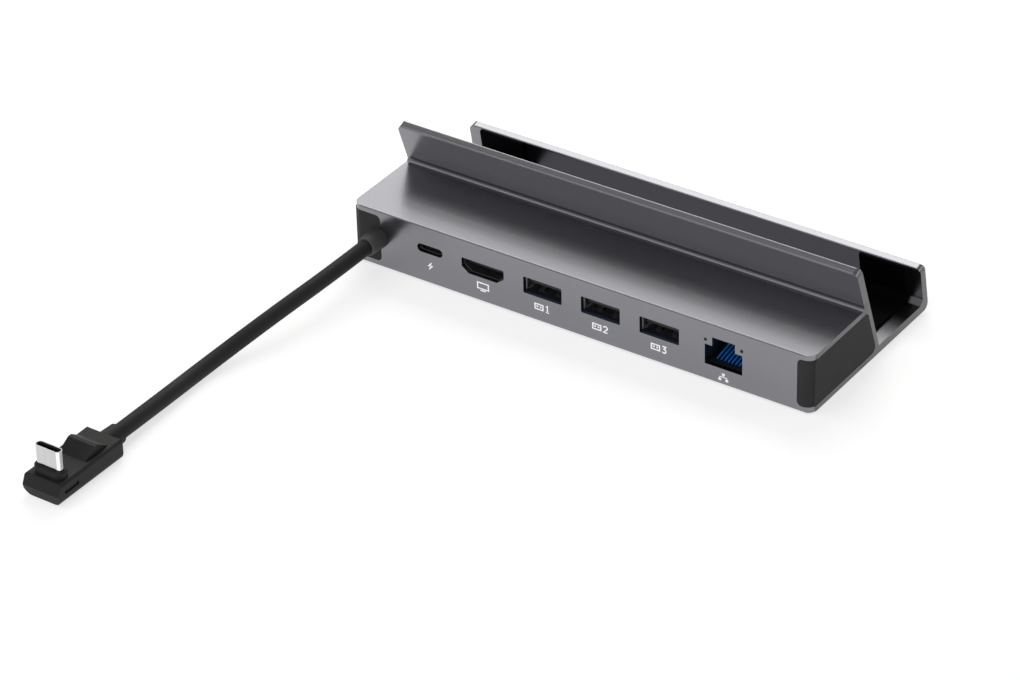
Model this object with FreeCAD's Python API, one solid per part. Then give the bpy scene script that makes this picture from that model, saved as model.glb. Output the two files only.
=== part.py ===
import FreeCAD
import Part
import math
import os

# Game console dock: an extruded aluminium housing with a row of sockets along its port face, a leaning
# fin and lip that cradle the console, plastic end caps, and a short cable with a right-angle plug.
# Millimetres. X runs along the length, Y from the port face to the lip, Z up. The origin is on the table
# under the middle of the housing. Sizes in y are measured back from the port face and sizes in z up from
# the housing's underside; place() turns them into the part's own frame.

# Housing section
LENGTH = 148.5
BOX_HEIGHT = 18.0
PORT_WALL = 1.5
TOP_WALL = 1.6
BOTTOM_WALL = 1.7
TRAY_FLOOR = 2.5
FIN_FOOT = 27.2
FIN_LEAN = math.radians(19.5)
FIN_THICK = 2.55
FIN_REACH = 14.3
FIN_ROOT_WALL = 1.55
FIN_FILLET = 0.9
CRADLE_WIDTH = 24.165
LIP_LEAN = math.radians(10.5)
LIP_THICK = 2.4
LIP_REACH = 12.3
LIP_CHAMFER = 1.6
LIP_FOOT_RADIUS = 2.0
EDGE_RADIUS = 0.4
PLAN_RADIUS = 3.0
CREST_RADIUS = 1.7
CAVITY_RADIUS = 1.8

# End caps and the windows they fill in the port wall
LEFT_WINDOW = 9.35
RIGHT_WINDOW = 4.65
WINDOW_RADIUS = 1.5
CAP_WALL = 1.6
CAP_SPIGOT = 3.0
CLEARANCE = 0.1

# How far a cut starts before the face it goes through, how near two points count as one, and a slot's
# end radius as a share of half its height, just short of a full round
OVERSHOOT = 1.0
TOUCHING = 1e-4
ROUND_END_SHARE = 0.999

# Cradle pads and feet
PAD_LENGTH = 14.5
PAD_END_GAP = 4.3
PAD_THICK = 1.0
PAD_TOP_GAP = 0.25
PAD_FIN_RISE = 18.0
FOOT_THICK = 1.0
FOOT_RECESS = 0.4
FOOT_WIDTH = 7.0
FOOT_END_GAP = 9.0
FRONT_FOOT_Y = 8.0
REAR_FOOT_Y = 52.0

# Sockets: places along the port face in steps of the row's pitch, and mouths
SOCKET_PITCH = LENGTH / 7.9
SHELL_WALL = 0.3
SOCKET_SILL = 7.65
POWER_X = -2.564 * SOCKET_PITCH
POWER_Z = 10.8
POWER_WIDTH = 8.5
POWER_HEIGHT = 2.6
POWER_DEPTH = 7.5
POWER_TONGUE_WIDTH = 6.7
POWER_TONGUE_THICK = 0.7
VIDEO_X = -1.628 * SOCKET_PITCH
VIDEO_WIDTH = 14.0
VIDEO_FLOOR_WIDTH = 9.3
VIDEO_HEIGHT = 4.55
VIDEO_SIDE = 2.75
VIDEO_DEPTH = 11.0
VIDEO_TONGUE_WIDTH = 11.4
VIDEO_TONGUE_THICK = 1.0
VIDEO_TONGUE_DROP = 1.7
DATA_X = 0.42 * SOCKET_PITCH
DATA_COUNT = 3
DATA_WIDTH = 12.5
DATA_HEIGHT = 5.15
DATA_DEPTH = 12.5
DATA_TONGUE_WIDTH = 11.1
DATA_TONGUE_THICK = 1.84
DATA_TONGUE_DROP = 1.06
TONGUE_FRONT_GAP = 1.2
BACK_BLOCK = 2.5

# Network jack, hung a small gap below the box's roof
JACK_X = 2.495 * SOCKET_PITCH
JACK_ROOF_GAP = 1.15
JACK_WIDTH = 11.7
JACK_HEIGHT = 6.2
LATCH_WIDTH = 7.1
LATCH_HEIGHT = 2.75
JACK_WALL = 1.35
JACK_DEPTH = 14.5
JACK_FLANGE = 1.2
CONTACT_COUNT = 8
CONTACT_PITCH = 1.15
CONTACT_WIDTH = 0.6
CONTACT_THICK = 0.3
CONTACT_SET_BACK = 1.9
CONTACT_RISE = 1.9
LIGHT_RADIUS = 0.5
LIGHT_PLAY = 0.02
LIGHT_SPACING = 11.3
LIGHT_ABOVE_MOUTH = 1.45

# Board and the parts on it
BOARD_THICK = 1.2
BOARD_LEFT_GAP = 4.25
BOARD_RIGHT_GAP = 8.25
BOARD_FRONT = 2.0
BOARD_REAR = 28.6
BOARD_NOTCH_REACH = 7.8
BOARD_NOTCH_REAR = 12.0
RAIL_WIDTH = 1.4
RAIL_YS = (18.2, 27.0)
BOARD_PARTS = {
    # middle in x and y, then width, depth, height and corner radius
    "hub_chip": (DATA_X, 21.5, 9.0, 9.0, 0.9, 0.0),
    "video_chip": (VIDEO_X, 21.0, 7.0, 7.0, 0.9, 0.0),
    "power_chip": (POWER_X, 15.0, 5.0, 5.0, 0.8, 0.0),
    "network_chip": (DATA_X + 22.6, 22.0, 6.0, 6.0, 0.85, 0.0),
    "network_transformer": (JACK_X, 22.5, 12.7, 7.0, 3.6, 0.0),
    "power_inductor": (POWER_X + 7.7, 22.0, 6.0, 6.0, 3.0, 1.0),
    "hub_crystal": (DATA_X + 9.6, 22.0, 3.2, 2.5, 0.8, 0.5),
}
CAPACITOR_RADIUS = 2.5
CAPACITOR_HEIGHT = 5.5
CAPACITOR_Y = 23.0
CAPACITOR_OFFSETS = (-8.8, -1.8)

# Cable, its strain relief and its plug
CABLE_DIAMETER = 4.6
CABLE_CORNER_SHARE = 0.45
BOOT_FROM_END = 8.45
BOOT_LENGTH = 6.0
BOOT_BASE_RADIUS = 3.2
BOOT_END_RADIUS = 2.85
BOOT_NECK_RADIUS = 2.5
BOOT_FLANGE_RADIUS = 3.5
BOOT_FLANGE_THICK = 1.5
LEAD_LENGTH = 14.0
LEAD_DIAMETER = 3.75
PLUG_OFFSET = -7.9
PLUG_YAW = -0.6
PLUG_LAST_RUN = 17.7
PLUG_REAR_Y = -112.5
PLUG_LENGTH = 26.3
PLUG_WIDTH = 12.2
PLUG_HEIGHT = 6.45
PLUG_BOTTOM_RADIUS = 2.4
PLUG_TOP_RADIUS = 0.9
PLUG_NOSE_TOP_SET_BACK = 1.4
PLUG_NOSE_FOOT_SET_BACK = 0.85
PLUG_AXIS_HEIGHT = 3.2
PLUG_SLEEVE_LENGTH = 5.1
PLUG_SLEEVE_ROOT_RADIUS = 3.15
PLUG_SLEEVE_END_RADIUS = 2.95
HUMP_RISE = 2.5
HUMP_FOOT_FROM_REAR = 13.3
HUMP_RIDGE_FROM_REAR = 9.1
HUMP_BACK_FROM_REAR = 4.2
HUMP_WIDTH = 8.9
HUMP_RIDGE_FLAT = 1.2
COLLAR_WIDTH = 9.8
COLLAR_DEPTH = 4.5
COLLAR_HEIGHT = 2.2
COLLAR_CHAMFER = 0.4
TIP_FROM_REAR = 21.6
TIP_WIDTH = 8.3
TIP_THICK = 2.45
TIP_LENGTH = 5.85
TIP_WALL = 0.3
TIP_SLOT_WIDTH = 6.9
TIP_SLOT_THICK = 1.0
TIP_SLOT_DEPTH = 5.2
GROOVE_LENGTH = 6.0
GROOVE_HEIGHT = 1.2
GROOVE_DEPTH = 0.4
GROOVE_FROM_REAR = 20.9
GROOVE_Z = 3.7

# Places worked out from the sizes above
FOOT_PROUD = FOOT_THICK - FOOT_RECESS
END = LENGTH / 2
CAVITY_TOP = BOX_HEIGHT - TOP_WALL
FIN_RUN = math.tan(FIN_LEAN)
LIP_RUN = math.tan(LIP_LEAN)
CRADLE_FRONT = FIN_FOOT + FIN_THICK / math.cos(FIN_LEAN) + (BOX_HEIGHT - TRAY_FLOOR) * FIN_RUN
CRADLE_REAR = CRADLE_FRONT + CRADLE_WIDTH
LIP_OUTER_FOOT = CRADLE_REAR + TRAY_FLOOR * LIP_RUN + LIP_THICK / math.cos(LIP_LEAN)
LIP_ROUND_Y = LIP_OUTER_FOOT - LIP_FOOT_RADIUS * (LIP_RUN + 1 / math.cos(LIP_LEAN))
DEPTH = LIP_ROUND_Y + LIP_FOOT_RADIUS
FIN_TOP = BOX_HEIGHT + FIN_REACH * math.cos(FIN_LEAN)
LIP_TOP = TRAY_FLOOR + LIP_REACH * math.cos(LIP_LEAN)
BOARD_TOP = SOCKET_SILL - SHELL_WALL
BOARD_UNDERSIDE = BOARD_TOP - BOARD_THICK
BOARD_LEFT = -END + BOARD_LEFT_GAP
BOARD_RIGHT = END - BOARD_RIGHT_GAP
JACK_SILL = CAVITY_TOP - JACK_ROOF_GAP - JACK_WALL - LATCH_HEIGHT - JACK_HEIGHT
LIGHT_Z = JACK_SILL + JACK_HEIGHT + LIGHT_ABOVE_MOUTH
BOOT_X = -END + BOOT_FROM_END
BOOT_Z = BOARD_TOP + LEAD_DIAMETER / 2
PLUG_X = BOOT_X + PLUG_OFFSET
DATA_XS = [DATA_X + (i - (DATA_COUNT - 1) / 2) * SOCKET_PITCH for i in range(DATA_COUNT)]

# The cable's route in the part's own frame, from the strain relief to the plug, chosen by hand. Its last
# run is in line with the plug, which lies a little askew.
CABLE_END_Y = PLUG_REAR_Y - DEPTH / 2 + PLUG_SLEEVE_LENGTH
CABLE_SWAY = -PLUG_LAST_RUN * math.tan(math.radians(PLUG_YAW))
CABLE_ROUTE = [
    (BOOT_X, -DEPTH / 2 - BOOT_LENGTH, FOOT_PROUD + BOOT_Z),
    (BOOT_X, -54.0, FOOT_PROUD + BOOT_Z),
    (BOOT_X - 3.4, -76.0, 7.3),
    (BOOT_X - 9.0, -99.5, 1.9),
    (PLUG_X + CABLE_SWAY, CABLE_END_Y + PLUG_LAST_RUN, PLUG_AXIS_HEIGHT),
    (PLUG_X, CABLE_END_Y, PLUG_AXIS_HEIGHT),
]


def place(x, y, z):
    """A point of the dock, y from the port face and z from the underside, in the part's frame."""
    return FreeCAD.Vector(x, y - DEPTH / 2, z + FOOT_PROUD)


def rounded_wire(corners, to_space):
    """A closed outline through corners (u, v, radius), each rounded by a tangent arc."""
    count = len(corners)
    pieces = []
    for i in range(count):
        here = FreeCAD.Vector(corners[i][0], corners[i][1], 0)
        before = FreeCAD.Vector(*corners[i - 1][:2], 0)
        after = FreeCAD.Vector(*corners[(i + 1) % count][:2], 0)
        radius = corners[i][2]
        back = (before - here).normalize()
        on = (after - here).normalize()
        half = back.getAngle(on) / 2
        if radius == 0:
            pieces.append([here])
            continue
        reach = radius / math.tan(half)
        middle = (back + on).normalize() * (radius / math.sin(half) - radius)
        pieces.append([here + back * reach, here + middle, here + on * reach])
    edges = []
    for i in range(count):
        points = [to_space(p.x, p.y) for p in pieces[i]]
        if len(points) == 3:
            edges.append(Part.Arc(*points).toShape())
        start = points[-1]
        end = to_space(pieces[(i + 1) % count][0].x, pieces[(i + 1) % count][0].y)
        if start.distanceToPoint(end) > TOUCHING:
            edges.append(Part.LineSegment(start, end).toShape())
    return Part.Wire(edges)


def prism(axis, start, stop, corners):
    """An outline of rounded corners, pushed along one axis from start to stop."""
    planes = {
        "x": lambda u, v: place(start, u, v),
        "y": lambda u, v: place(u, start, v),
        "z": lambda u, v: place(u, v, start),
    }
    ways = {"x": FreeCAD.Vector(1, 0, 0), "y": FreeCAD.Vector(0, 1, 0), "z": FreeCAD.Vector(0, 0, 1)}
    return Part.Face(rounded_wire(corners, planes[axis])).extrude(ways[axis] * (stop - start))


def rectangle(u_low, u_high, v_low, v_high, radius=0.0):
    """Corners of a rectangle, all with one radius."""
    spots = ((u_low, v_low), (u_high, v_low), (u_high, v_high), (u_low, v_high))
    return [(u, v, radius) for u, v in spots]


def stadium(u, v, width, height):
    """Corners of a slot with round ends."""
    radius = height / 2 * ROUND_END_SHARE
    return rectangle(u - width / 2, u + width / 2, v - height / 2, v + height / 2, radius)


def fin_front(z):
    """Where the fin's front plane stands at a height."""
    return FIN_FOOT + (BOX_HEIGHT - z) * FIN_RUN


def fin_rear(z):
    """Where the fin's rear plane stands at a height."""
    return fin_front(z) + FIN_THICK / math.cos(FIN_LEAN)


def lip_inner(z):
    """Where the lip's inner plane stands at a height."""
    return CRADLE_REAR - (z - TRAY_FLOOR) * LIP_RUN


def section_outline():
    """The housing's outer section, from the port face round by the lip and the fin."""
    fin_back_top = FIN_TOP + FIN_THICK * math.sin(FIN_LEAN)
    lip_out_top = LIP_TOP + LIP_THICK * math.sin(LIP_LEAN)
    lip_out_y = lip_inner(lip_out_top) + LIP_THICK / math.cos(LIP_LEAN)
    chamfer_top = TRAY_FLOOR + LIP_CHAMFER
    return [
        (0, 0, EDGE_RADIUS),
        (LIP_OUTER_FOOT, 0, LIP_FOOT_RADIUS),
        (lip_out_y, lip_out_top, EDGE_RADIUS),
        (lip_inner(LIP_TOP), LIP_TOP, EDGE_RADIUS),
        (lip_inner(chamfer_top), chamfer_top, 0),
        (lip_inner(TRAY_FLOOR) - LIP_CHAMFER, TRAY_FLOOR, 0),
        (CRADLE_FRONT, TRAY_FLOOR, 0),
        (fin_rear(fin_back_top), fin_back_top, EDGE_RADIUS),
        (fin_front(FIN_TOP), FIN_TOP, EDGE_RADIUS),
        (FIN_FOOT, BOX_HEIGHT, FIN_FILLET),
        (0, BOX_HEIGHT, EDGE_RADIUS),
    ]


def cavity_outline(inset, front):
    """The section of the box's inside, drawn in by an inset, with its front at a given y."""
    floor = BOTTOM_WALL + inset
    roof = CAVITY_TOP - inset
    slant = (inset - FIN_THICK + FIN_ROOT_WALL) / math.cos(FIN_LEAN)
    radius = CAVITY_RADIUS - inset if inset < CAVITY_RADIUS / 2 else CAVITY_RADIUS / 2
    return [
        (front, floor, 0),
        (fin_front(floor) - slant, floor, radius),
        (fin_front(roof) - slant, roof, radius),
        (front, roof, 0),
    ]


def plan_block():
    """The dock's outline from above with its rounded front corners, taller than the dock."""
    corners = [(-END, 0, PLAN_RADIUS), (END, 0, PLAN_RADIUS), (END, 2 * DEPTH, 0), (-END, 2 * DEPTH, 0)]
    return prism("z", -BOX_HEIGHT, 3 * BOX_HEIGHT, corners)


def window(side, width, inset):
    """The opening at one end of the port wall, which the end cap fills."""
    inner = side * (END - width + inset)
    outer = side * (END + PLAN_RADIUS)
    low = BOTTOM_WALL + inset
    high = CAVITY_TOP - inset
    corners = [(inner, low, WINDOW_RADIUS), (outer, low, 0), (outer, high, 0), (inner, high, WINDOW_RADIUS)]
    return prism("y", -PLAN_RADIUS, PORT_WALL + 2 * CLEARANCE, corners)


def round_pin(x, y, z, radius, length):
    """A round bar along +Y from a point of the dock."""
    return Part.makeCylinder(radius, length, place(x, y, z), FreeCAD.Vector(0, 1, 0))


def video_mouth(grow):
    """The video socket's mouth: a box with its lower corners cut in, grown on every side."""
    half = VIDEO_WIDTH / 2 + grow
    half_floor = VIDEO_FLOOR_WIDTH / 2 + grow / 2
    low = SOCKET_SILL - grow
    high = SOCKET_SILL + VIDEO_HEIGHT + grow
    side_low = SOCKET_SILL + VIDEO_HEIGHT - VIDEO_SIDE
    return [
        (VIDEO_X - half_floor, low, EDGE_RADIUS),
        (VIDEO_X + half_floor, low, EDGE_RADIUS),
        (VIDEO_X + half, side_low, EDGE_RADIUS),
        (VIDEO_X + half, high, EDGE_RADIUS),
        (VIDEO_X - half, high, EDGE_RADIUS),
        (VIDEO_X - half, side_low, EDGE_RADIUS),
    ]


def data_mouth(x, grow, radius=0.0):
    """A data socket's mouth, grown on every side."""
    half = DATA_WIDTH / 2 + grow
    return rectangle(x - half, x + half, SOCKET_SILL - grow, SOCKET_SILL + DATA_HEIGHT + grow, radius)


def power_mouth(grow):
    """The power socket's mouth, grown on every side."""
    return stadium(POWER_X, POWER_Z, POWER_WIDTH + 2 * grow, POWER_HEIGHT + 2 * grow)


def jack_mouth():
    """The network jack's mouth with the step above it for the plug's latch."""
    half = JACK_WIDTH / 2
    latch = LATCH_WIDTH / 2
    top = JACK_SILL + JACK_HEIGHT
    return [
        (JACK_X - half, JACK_SILL, 0),
        (JACK_X + half, JACK_SILL, 0),
        (JACK_X + half, top, 0),
        (JACK_X + latch, top, 0),
        (JACK_X + latch, top + LATCH_HEIGHT, 0),
        (JACK_X - latch, top + LATCH_HEIGHT, 0),
        (JACK_X - latch, top, 0),
        (JACK_X - half, top, 0),
    ]


def port_cuts():
    """Everything cut through the port wall for the sockets, the lights and the cable."""
    through = (-OVERSHOOT, PORT_WALL + OVERSHOOT)
    cuts = [prism("y", *through, power_mouth(0)), prism("y", *through, video_mouth(0))]
    cuts += [prism("y", *through, data_mouth(x, 0, EDGE_RADIUS)) for x in DATA_XS]
    cuts.append(prism("y", *through, jack_mouth()))
    for side in (-1, 1):
        x = JACK_X + side * LIGHT_SPACING / 2
        cuts.append(round_pin(x, through[0], LIGHT_Z, LIGHT_RADIUS, through[1] - through[0]))
    cuts.append(boot_hole())
    return cuts


def boot_hole():
    """The hole for the strain relief's neck, shared by the port wall and the left cap."""
    length = PORT_WALL + 2 * OVERSHOOT
    return round_pin(BOOT_X, -OVERSHOOT, BOOT_Z, BOOT_NECK_RADIUS + CLEARANCE, length)


def foot_outline(y, inset):
    """A foot strip's outline from below."""
    length = LENGTH - 2 * FOOT_END_GAP - 2 * inset
    return stadium(0, y, length, FOOT_WIDTH - 2 * inset)


def crest_cut(side, y, z, lean, thick):
    """What comes off one end of a leaning plate's top edge to round that corner in the plate's plane."""
    out = FreeCAD.Vector(side, 0, 0)
    up = FreeCAD.Vector(0, -math.sin(lean), math.cos(lean))
    across = FreeCAD.Vector(0, math.cos(lean), math.sin(lean))
    corner = place(side * END, y, z) - across * OVERSHOOT
    low = corner - up * CREST_RADIUS
    inner = corner - out * CREST_RADIUS
    middle = corner - (out + up) * CREST_RADIUS + (out + up).normalize() * CREST_RADIUS
    beyond = [inner, inner + up, corner + up + out, low + out, low]
    edges = Part.makePolygon(beyond).Edges + [Part.Arc(low, middle, inner).toShape()]
    return Part.Face(Part.Wire(edges)).extrude(across * (thick + 2 * OVERSHOOT))


def housing():
    """The aluminium extrusion: its section, the board rails, and the cuts at its ends and port wall."""
    body = prism("x", -END, END, section_outline())
    body = body.cut(prism("x", -2 * END, 2 * END, cavity_outline(0, PORT_WALL)))
    rail_left = -END + LEFT_WINDOW + CAP_SPIGOT + CLEARANCE
    rail_right = END - RIGHT_WINDOW - CAP_SPIGOT - CLEARANCE
    rail_root = BOTTOM_WALL / 2
    rails = []
    for y in RAIL_YS:
        section = rectangle(y, y + RAIL_WIDTH, rail_root, BOARD_UNDERSIDE)
        rails.append(prism("x", rail_left, rail_right, section))
    body = body.fuse(rails)
    feet = (FRONT_FOOT_Y, REAR_FOOT_Y)
    recesses = [prism("z", -OVERSHOOT, FOOT_RECESS, foot_outline(y, 0)) for y in feet]
    windows = [window(-1, LEFT_WINDOW, 0), window(1, RIGHT_WINDOW, 0)]
    crests = []
    for side in (-1, 1):
        crests.append(crest_cut(side, fin_front(FIN_TOP), FIN_TOP, FIN_LEAN, FIN_THICK))
        crests.append(crest_cut(side, lip_inner(LIP_TOP), LIP_TOP, LIP_LEAN, LIP_THICK))
    body = body.cut(windows + recesses + crests + port_cuts())
    return body.common(plan_block()).removeSplitter()


def end_cap(side, width):
    """A moulded cap: it fills the window flush with the port wall and plugs the end of the box."""
    spigot_end = END - width - CAP_SPIGOT
    low, high = sorted((side * spigot_end, side * END))
    cap = prism("x", low, high, cavity_outline(CLEARANCE, PORT_WALL + CLEARANCE))
    cap = cap.fuse(window(side, width, CLEARANCE).common(plan_block()))
    low, high = sorted((side * (spigot_end - OVERSHOOT), side * (END - CAP_WALL)))
    cap = cap.cut(prism("x", low, high, cavity_outline(CAP_WALL, PORT_WALL)))
    if side < 0:
        cap = cap.cut(boot_hole())
    return cap.removeSplitter()


def cradle_pad(side):
    """A soft U-shaped pad that lines the cradle's lip, floor and fin near one end."""
    lip_top = LIP_TOP - PAD_TOP_GAP
    chamfer_top = TRAY_FLOOR + LIP_CHAMFER
    fin_top = TRAY_FLOOR + PAD_FIN_RISE
    floor = TRAY_FLOOR + PAD_THICK
    lip_step = PAD_THICK / math.cos(LIP_LEAN)
    fin_step = PAD_THICK / math.cos(FIN_LEAN)
    corners = [
        (lip_inner(lip_top), lip_top, 0),
        (lip_inner(chamfer_top), chamfer_top, 0),
        (lip_inner(TRAY_FLOOR) - LIP_CHAMFER, TRAY_FLOOR, 0),
        (CRADLE_FRONT, TRAY_FLOOR, 0),
        (fin_rear(fin_top), fin_top, 0),
        (fin_rear(fin_top) + fin_step, fin_top, PAD_THICK / 2),
        (fin_rear(floor) + fin_step, floor, PAD_THICK),
        (lip_inner(floor) - lip_step - LIP_CHAMFER, floor, 0),
        (lip_inner(floor + LIP_CHAMFER) - lip_step, floor + LIP_CHAMFER, 0),
        (lip_inner(lip_top) - lip_step, lip_top, PAD_THICK / 2),
    ]
    outer = side * (END - PAD_END_GAP)
    inner = side * (END - PAD_END_GAP - PAD_LENGTH)
    return prism("x", min(inner, outer), max(inner, outer), corners)


def foot_strip(y):
    """A rubber strip let into the underside."""
    return prism("z", -FOOT_PROUD, FOOT_RECESS, foot_outline(y, CLEARANCE))


def socket_shell(mouth, depth):
    """A folded steel shell behind the port wall: a mouth grown by the sheet, closed at the back."""
    outer = prism("y", PORT_WALL, PORT_WALL + depth, mouth(SHELL_WALL))
    return outer.cut(prism("y", PORT_WALL - OVERSHOOT, PORT_WALL + depth - SHELL_WALL, mouth(0)))


def socket_core(mouth, depth, tongue):
    """A socket's plastic core: a block that fills the shell's back and a tongue towards the mouth."""
    back = PORT_WALL + depth - SHELL_WALL
    block = prism("y", back - BACK_BLOCK, back, mouth(0))
    return block.fuse(prism("y", PORT_WALL + TONGUE_FRONT_GAP, back, tongue)).removeSplitter()


def bar_section(u, v, width, thick):
    """Corners of a tongue's section, by its middle."""
    return rectangle(u - width / 2, u + width / 2, v - thick / 2, v + thick / 2)


def power_socket():
    """Shell and core of the power socket, and the riser that lifts them off the board."""
    tongue = bar_section(POWER_X, POWER_Z, POWER_TONGUE_WIDTH, POWER_TONGUE_THICK)
    half = (POWER_WIDTH - POWER_HEIGHT) / 2
    under_shell = POWER_Z - POWER_HEIGHT / 2 - SHELL_WALL
    riser = rectangle(POWER_X - half, POWER_X + half, BOARD_TOP, under_shell)
    return {
        "power_socket_shell": socket_shell(power_mouth, POWER_DEPTH),
        "power_socket_core": socket_core(power_mouth, POWER_DEPTH, tongue),
        "power_socket_riser": prism("y", PORT_WALL + CLEARANCE, PORT_WALL + POWER_DEPTH, riser),
    }


def video_socket():
    """Shell and core of the video socket."""
    tongue_z = SOCKET_SILL + VIDEO_HEIGHT - VIDEO_TONGUE_DROP - VIDEO_TONGUE_THICK / 2
    tongue = bar_section(VIDEO_X, tongue_z, VIDEO_TONGUE_WIDTH, VIDEO_TONGUE_THICK)
    return {
        "video_socket_shell": socket_shell(video_mouth, VIDEO_DEPTH),
        "video_socket_core": socket_core(video_mouth, VIDEO_DEPTH, tongue),
    }


def data_sockets():
    """Shell and core of each data socket in the row."""
    made = {}
    tongue_z = SOCKET_SILL + DATA_HEIGHT - DATA_TONGUE_DROP - DATA_TONGUE_THICK / 2
    for i, x in enumerate(DATA_XS):
        tongue = bar_section(x, tongue_z, DATA_TONGUE_WIDTH, DATA_TONGUE_THICK)

        def mouth(grow, x=x):
            return data_mouth(x, grow)

        made[f"data_socket_{i + 1}_shell"] = socket_shell(mouth, DATA_DEPTH)
        made[f"data_socket_{i + 1}_core"] = socket_core(mouth, DATA_DEPTH, tongue)
    return made


def network_jack():
    """The jack's housing, sunk through the board on side flanges, its contacts and its two lights."""
    half = JACK_WIDTH / 2 + JACK_WALL
    low = JACK_SILL - JACK_WALL
    high = JACK_SILL + JACK_HEIGHT + LATCH_HEIGHT + JACK_WALL
    back = PORT_WALL + JACK_DEPTH
    body = prism("y", PORT_WALL, back, rectangle(JACK_X - half, JACK_X + half, low, high))
    wing_half = half + JACK_FLANGE
    wing = rectangle(JACK_X - wing_half, JACK_X + wing_half, BOARD_TOP, BOARD_TOP + JACK_FLANGE)
    body = body.fuse(prism("y", BOARD_FRONT, back, wing))
    body = body.cut(prism("y", PORT_WALL - OVERSHOOT, back - JACK_WALL, jack_mouth()))
    lights = {}
    for side, name in ((-1, "left"), (1, "right")):
        x = JACK_X + side * LIGHT_SPACING / 2
        pin = round_pin(x, CLEARANCE, LIGHT_Z, LIGHT_RADIUS - LIGHT_PLAY, PORT_WALL - CLEARANCE)
        lights[f"link_light_{name}"] = pin
    contacts = jack_contacts(back - JACK_WALL)
    return {"network_jack_housing": body, "network_jack_contacts": contacts, **lights}


def jack_contacts(rear):
    """Spring contacts that rise from the jack's floor near its mouth to its back wall."""
    front = PORT_WALL + CONTACT_SET_BACK
    foot = JACK_SILL
    wires = []
    for i in range(CONTACT_COUNT):
        x = JACK_X + (i - (CONTACT_COUNT - 1) / 2) * CONTACT_PITCH
        slope = [
            (front, foot, 0),
            (front + CONTACT_THICK * 3, foot, 0),
            (rear, foot + CONTACT_RISE - CONTACT_THICK, 0),
            (rear, foot + CONTACT_RISE, 0),
        ]
        wires.append(prism("x", x - CONTACT_WIDTH / 2, x + CONTACT_WIDTH / 2, slope))
    return Part.Compound(wires)


def main_board():
    """The circuit board on the rails, notched for the cable and for the sunk jack."""
    sheet = rectangle(BOARD_LEFT, BOARD_RIGHT, BOARD_FRONT, BOARD_REAR)
    board = prism("z", BOARD_UNDERSIDE, BOARD_TOP, sheet)
    front = BOARD_FRONT - OVERSHOOT
    notch = rectangle(BOARD_LEFT - OVERSHOOT, BOOT_X + BOARD_NOTCH_REACH, front, BOARD_NOTCH_REAR)
    half = JACK_WIDTH / 2 + JACK_WALL + CLEARANCE
    jack = rectangle(JACK_X - half, JACK_X + half, front, PORT_WALL + JACK_DEPTH + CLEARANCE)
    through = (BOARD_UNDERSIDE - OVERSHOOT, BOARD_TOP + OVERSHOOT)
    cuts = [prism("z", *through, outline) for outline in (notch, jack)]
    return board.cut(cuts)


def on_board(x, y, width, depth, height, radius):
    """A component on the board, by its middle and its size."""
    outline = rectangle(x - width / 2, x + width / 2, y - depth / 2, y + depth / 2, radius)
    return prism("z", BOARD_TOP, BOARD_TOP + height, outline)


def board_components():
    """The chips, magnetics and capacitors, each behind the socket that it serves."""
    cans = []
    for offset in CAPACITOR_OFFSETS:
        spot = place(POWER_X + offset, CAPACITOR_Y, BOARD_TOP)
        cans.append(Part.makeCylinder(CAPACITOR_RADIUS, CAPACITOR_HEIGHT, spot))
    made = {name: on_board(*sizes) for name, sizes in BOARD_PARTS.items()}
    made["power_capacitors"] = Part.Compound(cans)
    return made


def cable_boot():
    """The strain relief: a tapered sleeve outside, a neck through the wall and a flange inside."""
    profile = [
        (0, -BOOT_LENGTH),
        (BOOT_END_RADIUS, -BOOT_LENGTH),
        (BOOT_BASE_RADIUS, 0),
        (BOOT_NECK_RADIUS, 0),
        (BOOT_NECK_RADIUS, PORT_WALL),
        (BOOT_FLANGE_RADIUS, PORT_WALL),
        (BOOT_FLANGE_RADIUS, PORT_WALL + BOOT_FLANGE_THICK),
        (0, PORT_WALL + BOOT_FLANGE_THICK),
        (0, -BOOT_LENGTH),
    ]
    wire = Part.makePolygon([place(BOOT_X + r, y, BOOT_Z) for r, y in profile])
    return Part.Face(wire).revolve(place(BOOT_X, 0, BOOT_Z), FreeCAD.Vector(0, 1, 0), 360)


def cable_lead():
    """The cable's inner end without its outer jacket, from the strain relief to the board."""
    start = PORT_WALL + BOOT_FLANGE_THICK
    return round_pin(BOOT_X, start, BOOT_Z, LEAD_DIAMETER / 2, LEAD_LENGTH)


def cable():
    """A tube along the route: straight runs joined by tangent arcs as large as the runs allow."""
    points = [FreeCAD.Vector(*p) for p in CABLE_ROUTE]
    edges = []
    start = points[0]
    for before, here, after in zip(points, points[1:], points[2:]):
        back = before - here
        on = after - here
        shorter = min(back.Length, on.Length)
        half_turn = (math.pi - back.getAngle(on)) / 2
        reach = CABLE_CORNER_SHARE * shorter
        radius = reach / math.tan(half_turn)
        print(f"cable bend radius {radius:.1f}")
        back.normalize()
        on.normalize()
        middle = here + (back + on).normalize() * (radius / math.cos(half_turn) - radius)
        edges.append(Part.LineSegment(start, here + back * reach).toShape())
        edges.append(Part.Arc(here + back * reach, middle, here + on * reach).toShape())
        start = here + on * reach
    edges.append(Part.LineSegment(start, points[-1]).toShape())
    path = Part.Wire(edges)
    ring = Part.Wire(Part.makeCircle(CABLE_DIAMETER / 2, points[0], points[1] - points[0]))
    tube = path.makePipeShell([ring], True, False)
    straight = math.pi * CABLE_DIAMETER ** 2 / 4 * path.Length
    print(f"cable length {path.Length:.1f}, volume over a straight tube's {tube.Volume / straight:.4f}")
    return tube


def on_plug(x, back, z):
    """A point of the plug: x from its middle, back from its rear end, z from the table."""
    return FreeCAD.Vector(PLUG_X + x, PLUG_REAR_Y - DEPTH / 2 - back, z)


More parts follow.
